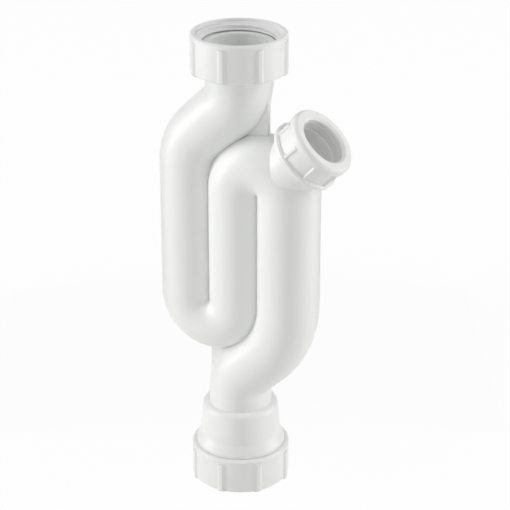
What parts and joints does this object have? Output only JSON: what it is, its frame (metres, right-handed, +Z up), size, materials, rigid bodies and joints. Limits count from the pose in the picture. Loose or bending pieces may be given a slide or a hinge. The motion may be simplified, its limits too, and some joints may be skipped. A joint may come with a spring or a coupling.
{
  "type": "pedestal trap",
  "caption": "White plastic in-line basin trap: an S of fused upright legs with a water seal, a ribbed union nut on top, a compression outlet below and an angled branch.",
  "frame": {"origin": "centre of the outlet nut's bottom face, on the axis that the inlet and the outlet share", "axes": "+Z up along that axis, from outlet to inlet; +X towards the right leg and the angled branch; the legs lie in the XZ plane"},
  "size_m": [0.1103, 0.0578, 0.265],
  "materials": {
    "body_plastic": "satin moulded",
    "nut_plastic": "satin moulded",
    "washer": "smooth",
    "slip_ring": "smooth",
    "seal": "smooth"
  },
  "bodies": {
    "trap": {"trap_body": "body_plastic", "inlet_washer": "washer"},
    "inlet_nut": {"inlet_nut": "nut_plastic"},
    "outlet_ring": {"outlet_slip_ring": "slip_ring", "outlet_seal": "seal"},
    "outlet_nut": {"outlet_nut": "nut_plastic"},
    "branch_ring": {"branch_slip_ring": "slip_ring", "branch_seal": "seal"},
    "branch_nut": {"branch_nut": "nut_plastic"}
  },
  "joints": [
    {"name": "inlet_nut_spin", "type": "hinge", "parent": "trap", "child": "inlet_nut", "pos_m": [0, 0, 0.26496], "axis": [0, 0, 1], "continuous": true},
    {"name": "outlet_ring_slide", "type": "slide", "parent": "trap", "child": "outlet_ring", "axis": [0, 0, -1], "range_m": [0, 0.0105]},
    {"name": "outlet_nut_turn", "type": "hinge", "parent": "outlet_ring", "child": "outlet_nut", "pos_m": [0, 0, 0], "axis": [0, 0, -1], "range_deg": [0, 1260]},
    {"name": "branch_ring_slide", "type": "slide", "parent": "trap", "child": "branch_ring", "axis": [0.7071, 0, 0.7071], "range_m": [0, 0.0105]},
    {"name": "branch_nut_turn", "type": "hinge", "parent": "branch_ring", "child": "branch_nut", "pos_m": [0.05015, 0, 0.21327], "axis": [0.7071, 0, 0.7071], "range_deg": [0, 1260]}
  ],
  "couplings": [
    {"joint": "outlet_ring_slide", "follows": "outlet_nut_turn", "m_per_rad": 0.00047746},
    {"joint": "branch_ring_slide", "follows": "branch_nut_turn", "m_per_rad": 0.00047746}
  ]
}
